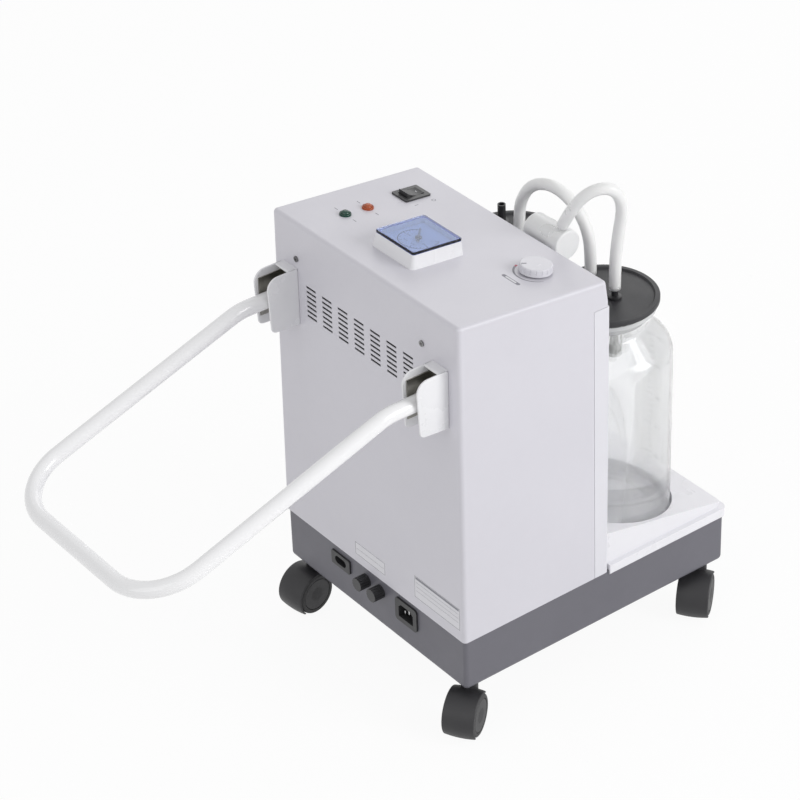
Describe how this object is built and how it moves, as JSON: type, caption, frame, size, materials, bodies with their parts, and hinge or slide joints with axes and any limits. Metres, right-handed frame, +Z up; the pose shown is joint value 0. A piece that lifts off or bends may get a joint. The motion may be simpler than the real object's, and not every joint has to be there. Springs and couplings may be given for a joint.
{
  "type": "vacuum aspirator",
  "caption": "Mobile suction unit: upright plastic housing with a sloping control top, two lidded glass jars on a front tray, clear hoses, folding push handle and swivel casters.",
  "frame": {"origin": "on the floor, under the middle of the machine with its handle out", "axes": "+Z up, -Y towards the front where the jars stand, +Y towards the back panel and the push handle"},
  "size_m": [0.3444, 0.7032, 0.5424],
  "materials": {
    "housing_white": "fine texture",
    "base_grey": "fine texture",
    "bracket_white": "semi gloss",
    "steel": "brushed",
    "handle_paint": "gloss",
    "black_plastic": "semi gloss",
    "caster_dark": "satin",
    "lid_rubber": "dull",
    "clear_glass": "clear",
    "clear_tube": "translucent",
    "filter_shell": "translucent",
    "filter_paper": "matt",
    "window_blue": "tinted",
    "dial_white": "matt",
    "needle_dark": "satin",
    "brass": "satin",
    "lamp_green": "gloss",
    "lamp_amber": "gloss",
    "pump_cast": "cast",
    "motor_paint": "satin",
    "fan_plastic": "matt",
    "foot_rubber": "dull",
    "float_white": "satin",
    "fuse_glass": "clear"
  },
  "bodies": {
    "machine": {"base_tub": "base_grey", "chassis_plate": "steel", "bottle_tray": "housing_white", "main_cover": "housing_white", "front_panel": "housing_white", "cover_screws": "steel", "handle_hood_left": "bracket_white", "handle_hood_right": "bracket_white", "hinge_liner_left": "steel", "hinge_liner_right": "steel", "hinge_pins": "steel", "mains_inlet": "black_plastic", "pedal_socket": "black_plastic", "fuse_holders": "black_plastic", "fuse_caps": "black_plastic", "fuses": "fuse_glass", "gauge_case": "bracket_white", "gauge_capsule": "brass", "gauge_dial": "dial_white", "gauge_window": "window_blue", "switch_bezel": "black_plastic", "lamp_green": "lamp_green", "lamp_amber": "lamp_amber", "regulator_valve": "brass", "suction_elbow": "black_plastic", "caster_stems": "steel", "pump_feet": "foot_rubber", "pump_crankcases": "pump_cast", "pump_cylinders": "pump_cast", "cylinder_heads": "pump_cast", "motor_housing": "motor_paint", "exhaust_muffler": "black_plastic"},
    "needle": {"gauge_needle": "needle_dark"},
    "rocker": {"switch_rocker": "black_plastic"},
    "knob": {"regulator_knob": "bracket_white"},
    "rotor": {"rotor_shaft": "steel", "cooling_fans": "fan_plastic"},
    "handle": {"handle_tube": "handle_paint", "handle_bushes": "float_white"},
    "jars": {"jar_left": "clear_glass", "jar_right": "clear_glass"},
    "lid_set": {"lid_left": "lid_rubber", "lid_right": "lid_rubber", "lid_spigots": "black_plastic", "patient_port": "black_plastic", "float_cage": "float_white", "jumper_hose": "clear_tube", "pump_hose": "clear_tube", "filter_bowl": "filter_shell", "filter_cap": "filter_shell", "filter_element": "filter_paper"},
    "float": {"float_ball": "float_white"},
    "swivel_back_right": {"caster_cowl_back_right": "caster_dark"},
    "roll_back_right": {"caster_wheels_back_right": "caster_dark"},
    "swivel_back_left": {"caster_cowl_back_left": "caster_dark"},
    "roll_back_left": {"caster_wheels_back_left": "caster_dark"},
    "swivel_front_right": {"caster_cowl_front_right": "caster_dark"},
    "roll_front_right": {"caster_wheels_front_right": "caster_dark"},
    "swivel_front_left": {"caster_cowl_front_left": "caster_dark"},
    "roll_front_left": {"caster_wheels_front_left": "caster_dark"}
  },
  "joints": [
    {"name": "handle_fold", "type": "hinge", "parent": "machine", "child": "handle", "pos_m": [0, 0.02253, 0.41], "axis": [1, 0, 0], "range_deg": [-70, 60]},
    {"name": "jar_lift", "type": "slide", "parent": "machine", "child": "jars", "axis": [0, 0, 1], "range_m": [0, 0.045]},
    {"name": "lid_lift", "type": "slide", "parent": "jars", "child": "lid_set", "axis": [0, 0, 1], "range_m": [0, 0.11]},
    {"name": "float_rise", "type": "slide", "parent": "lid_set", "child": "float", "axis": [0, 0, 1], "range_m": [0, 0.022]},
    {"name": "switch_rock", "type": "hinge", "parent": "machine", "child": "rocker", "pos_m": [0.1, -0.13747, 0.47845], "axis": [1, 0, 0], "range_deg": [-18, 0]},
    {"name": "regulator_turn", "type": "hinge", "parent": "machine", "child": "knob", "pos_m": [-0.098, -0.13747, 0.47845], "axis": [0, -0.1056, 0.9944], "range_deg": [-135, 135]},
    {"name": "needle_turn", "type": "hinge", "parent": "machine", "child": "needle", "pos_m": [0, -0.06897, 0.48573], "axis": [0, -0.1056, 0.9944], "range_deg": [0, 264]},
    {"name": "rotor_spin", "type": "hinge", "parent": "machine", "child": "rotor", "pos_m": [0, -0.08547, 0.1811], "axis": [1, 0, 0], "continuous": true},
    {"name": "swivel_back_right", "type": "hinge", "parent": "machine", "child": "swivel_back_right", "pos_m": [-0.1345, -0.01647, 0.05], "axis": [0, 0, 1], "continuous": true},
    {"name": "roll_back_right", "type": "hinge", "parent": "swivel_back_right", "child": "roll_back_right", "pos_m": [-0.14192, -0.00459, 0.0235], "axis": [-0.848, -0.5299, 0], "continuous": true},
    {"name": "swivel_back_left", "type": "hinge", "parent": "machine", "child": "swivel_back_left", "pos_m": [0.1345, -0.01647, 0.05], "axis": [0, 0, 1], "continuous": true},
    {"name": "roll_back_left", "type": "hinge", "parent": "swivel_back_left", "child": "roll_back_left", "pos_m": [0.13255, -0.0026, 0.0235], "axis": [-0.9903, -0.1392, 0], "continuous": true},
    {"name": "swivel_front_right", "type": "hinge", "parent": "machine", "child": "swivel_front_right", "pos_m": [-0.1345, -0.33097, 0.05], "axis": [0, 0, 1], "continuous": true},
    {"name": "roll_front_right", "type": "hinge", "parent": "swivel_front_right", "child": "roll_front_right", "pos_m": [-0.14312, -0.31993, 0.0235], "axis": [-0.788, -0.6157, 0], "continuous": true},
    {"name": "swivel_front_left", "type": "hinge", "parent": "machine", "child": "swivel_front_left", "pos_m": [0.1345, -0.33097, 0.05], "axis": [0, 0, 1], "continuous": true},
    {"name": "roll_front_left", "type": "hinge", "parent": "swivel_front_left", "child": "roll_front_left", "pos_m": [0.14312, -0.31993, 0.0235], "axis": [-0.788, 0.6157, 0], "continuous": true}
  ]
}
